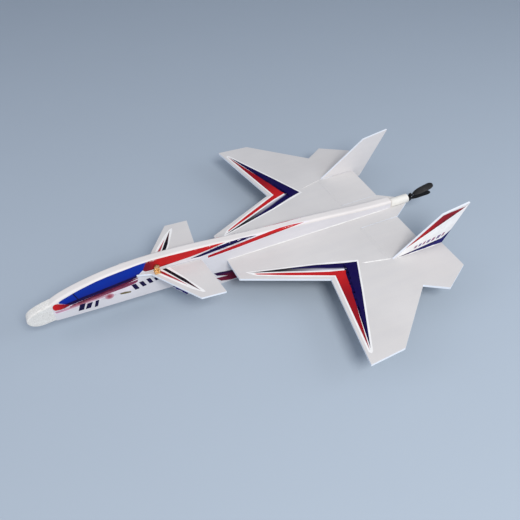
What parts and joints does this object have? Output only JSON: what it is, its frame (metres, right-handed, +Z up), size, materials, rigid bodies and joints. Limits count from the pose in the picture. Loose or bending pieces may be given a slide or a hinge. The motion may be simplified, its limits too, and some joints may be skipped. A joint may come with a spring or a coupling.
{
  "type": "rc foam airplane",
  "caption": "Electric foam model aircraft with all-moving canards, forward-swept outer wing panels, twin fins and a folding pusher propeller.",
  "frame": {"origin": "on the flat underside of the belly, below the kink of the wing's leading edge, on the centre plane", "axes": "+X forward to the nose, +Y to the left wing tip, +Z up, square to the wing sheet"},
  "size_m": [0.8853, 0.7, 0.147],
  "materials": {
    "foam": "fine closed-cell foam sheet, painted and decorated with thin film",
    "plywood": "birch plywood",
    "carbon": "pultruded carbon flat",
    "brass": "turned brass",
    "steel": "plain steel wire and screws",
    "magnet": "nickel-plated disc magnets",
    "servo_case": "tinted moulded case",
    "nylon": "moulded nylon",
    "battery_wrap": "heat-shrink film",
    "hook_pad": "hook-and-loop pad",
    "heat_shrink": "black heat-shrink",
    "receiver_case": "moulded case",
    "pod_plastic": "thin moulded tube",
    "motor_aluminium": "turned aluminium",
    "motor_black": "black rotor can",
    "prop_plastic": "black glass-filled nylon"
  },
  "bodies": {
    "airframe": {"fuselage_side_left": "foam", "fuselage_side_right": "foam", "fuselage_spine": "foam", "fuselage_floor_front": "foam", "intake_face": "foam", "belly_strip": "foam", "fuselage_floor_rear": "foam", "former_canard": "plywood", "former_wing": "plywood", "former_tail": "plywood", "fuselage_magnets": "magnet", "wing_left": "foam", "wing_right": "foam", "wing_spar": "carbon", "fin_left": "foam", "fin_right": "foam", "canard_bushes": "brass", "canard_servo": "servo_case", "servo_screws": "steel", "elevon_servo_left": "servo_case", "elevon_servo_right": "servo_case", "battery": "battery_wrap", "battery_pad": "hook_pad", "speed_controller": "heat_shrink", "receiver": "receiver_case", "motor_pod": "pod_plastic", "motor_mount": "plywood", "motor_stator": "motor_aluminium", "motor_screws": "steel"},
    "nose": {"nose_block": "foam", "nose_magnets": "magnet"},
    "canard": {"canard_left": "foam", "canard_right": "foam", "canard_shaft": "steel", "canard_bracket_left": "brass", "canard_bracket_right": "brass", "bracket_screws": "steel"},
    "elevon_l": {"elevon_left": "foam", "hinge_wire_left": "steel", "elevon_horn_left": "nylon"},
    "elevon_r": {"elevon_right": "foam", "hinge_wire_right": "steel", "elevon_horn_right": "nylon"},
    "arm_l": {"elevon_servo_arm_left": "nylon", "elevon_arm_screw_left": "steel"},
    "arm_r": {"elevon_servo_arm_right": "nylon", "elevon_arm_screw_right": "steel"},
    "arm_c": {"canard_servo_arm": "nylon", "canard_arm_screw": "steel"},
    "rod_l": {"elevon_pushrod_left": "steel"},
    "rod_r": {"elevon_pushrod_right": "steel"},
    "rod_c": {"canard_pushrod": "steel"},
    "rotor": {"motor_bell": "motor_black", "motor_shaft": "steel", "prop_hub": "prop_plastic", "prop_nut": "steel", "blade_pins": "steel"},
    "fold_l": {"blade_left": "prop_plastic"},
    "fold_r": {"blade_right": "prop_plastic"}
  },
  "joints": [
    {"name": "elevon_left_hinge", "type": "hinge", "parent": "airframe", "child": "elevon_l", "pos_m": [-0.133, 0.09335, 0.0575], "axis": [0, 1, 0], "range_deg": [-25, 25]},
    {"name": "elevon_right_hinge", "type": "hinge", "parent": "airframe", "child": "elevon_r", "pos_m": [-0.133, -0.09335, 0.0575], "axis": [0, 1, 0], "range_deg": [-25, 25]},
    {"name": "elevon_arm_left_turn", "type": "hinge", "parent": "airframe", "child": "arm_l", "pos_m": [-0.085, 0.08975, 0.05375], "axis": [0, 1, 0], "range_deg": [-25, 25]},
    {"name": "elevon_arm_right_turn", "type": "hinge", "parent": "airframe", "child": "arm_r", "pos_m": [-0.085, -0.08975, 0.05375], "axis": [0, 1, 0], "range_deg": [-25, 25]},
    {"name": "elevon_pushrod_left_pivot", "type": "hinge", "parent": "arm_l", "child": "rod_l", "pos_m": [-0.085, 0.08975, 0.04275], "axis": [0, 1, 0], "range_deg": [-25, 25]},
    {"name": "elevon_pushrod_right_pivot", "type": "hinge", "parent": "arm_r", "child": "rod_r", "pos_m": [-0.085, -0.08975, 0.04275], "axis": [0, 1, 0], "range_deg": [-25, 25]},
    {"name": "canard_pitch", "type": "hinge", "parent": "airframe", "child": "canard", "pos_m": [0.303, 0, 0.103], "axis": [0, 1, 0], "range_deg": [-15, 15]},
    {"name": "canard_arm_turn", "type": "hinge", "parent": "airframe", "child": "arm_c", "pos_m": [0.365, -0.01605, 0.103], "axis": [0, 1, 0], "range_deg": [-15, 15]},
    {"name": "canard_pushrod_pivot", "type": "hinge", "parent": "arm_c", "child": "rod_c", "pos_m": [0.365, -0.01605, 0.11], "axis": [0, 1, 0], "range_deg": [-15, 15]},
    {"name": "propeller_spin", "type": "hinge", "parent": "airframe", "child": "rotor", "pos_m": [-0.26, 0, 0.063], "axis": [1, 0, 0], "continuous": true},
    {"name": "blade_left_fold", "type": "hinge", "parent": "rotor", "child": "fold_l", "pos_m": [-0.279, 0.00168, 0.06928], "axis": [0, -0.9659, 0.2588], "range_deg": [-67, 18]},
    {"name": "blade_right_fold", "type": "hinge", "parent": "rotor", "child": "fold_r", "pos_m": [-0.279, -0.00168, 0.05672], "axis": [0, -0.9659, 0.2588], "range_deg": [0, 89]},
    {"name": "nose_pull", "type": "slide", "parent": "airframe", "child": "nose", "axis": [1, 0, 0], "range_m": [0, 0.09]}
  ],
  "couplings": [
    {"joint": "elevon_arm_left_turn", "follows": "elevon_left_hinge", "ratio": 1},
    {"joint": "elevon_pushrod_left_pivot", "follows": "elevon_left_hinge", "ratio": -1},
    {"joint": "elevon_arm_right_turn", "follows": "elevon_right_hinge", "ratio": 1},
    {"joint": "elevon_pushrod_right_pivot", "follows": "elevon_right_hinge", "ratio": -1},
    {"joint": "canard_arm_turn", "follows": "canard_pitch", "ratio": 1},
    {"joint": "canard_pushrod_pivot", "follows": "canard_pitch", "ratio": -1}
  ]
}
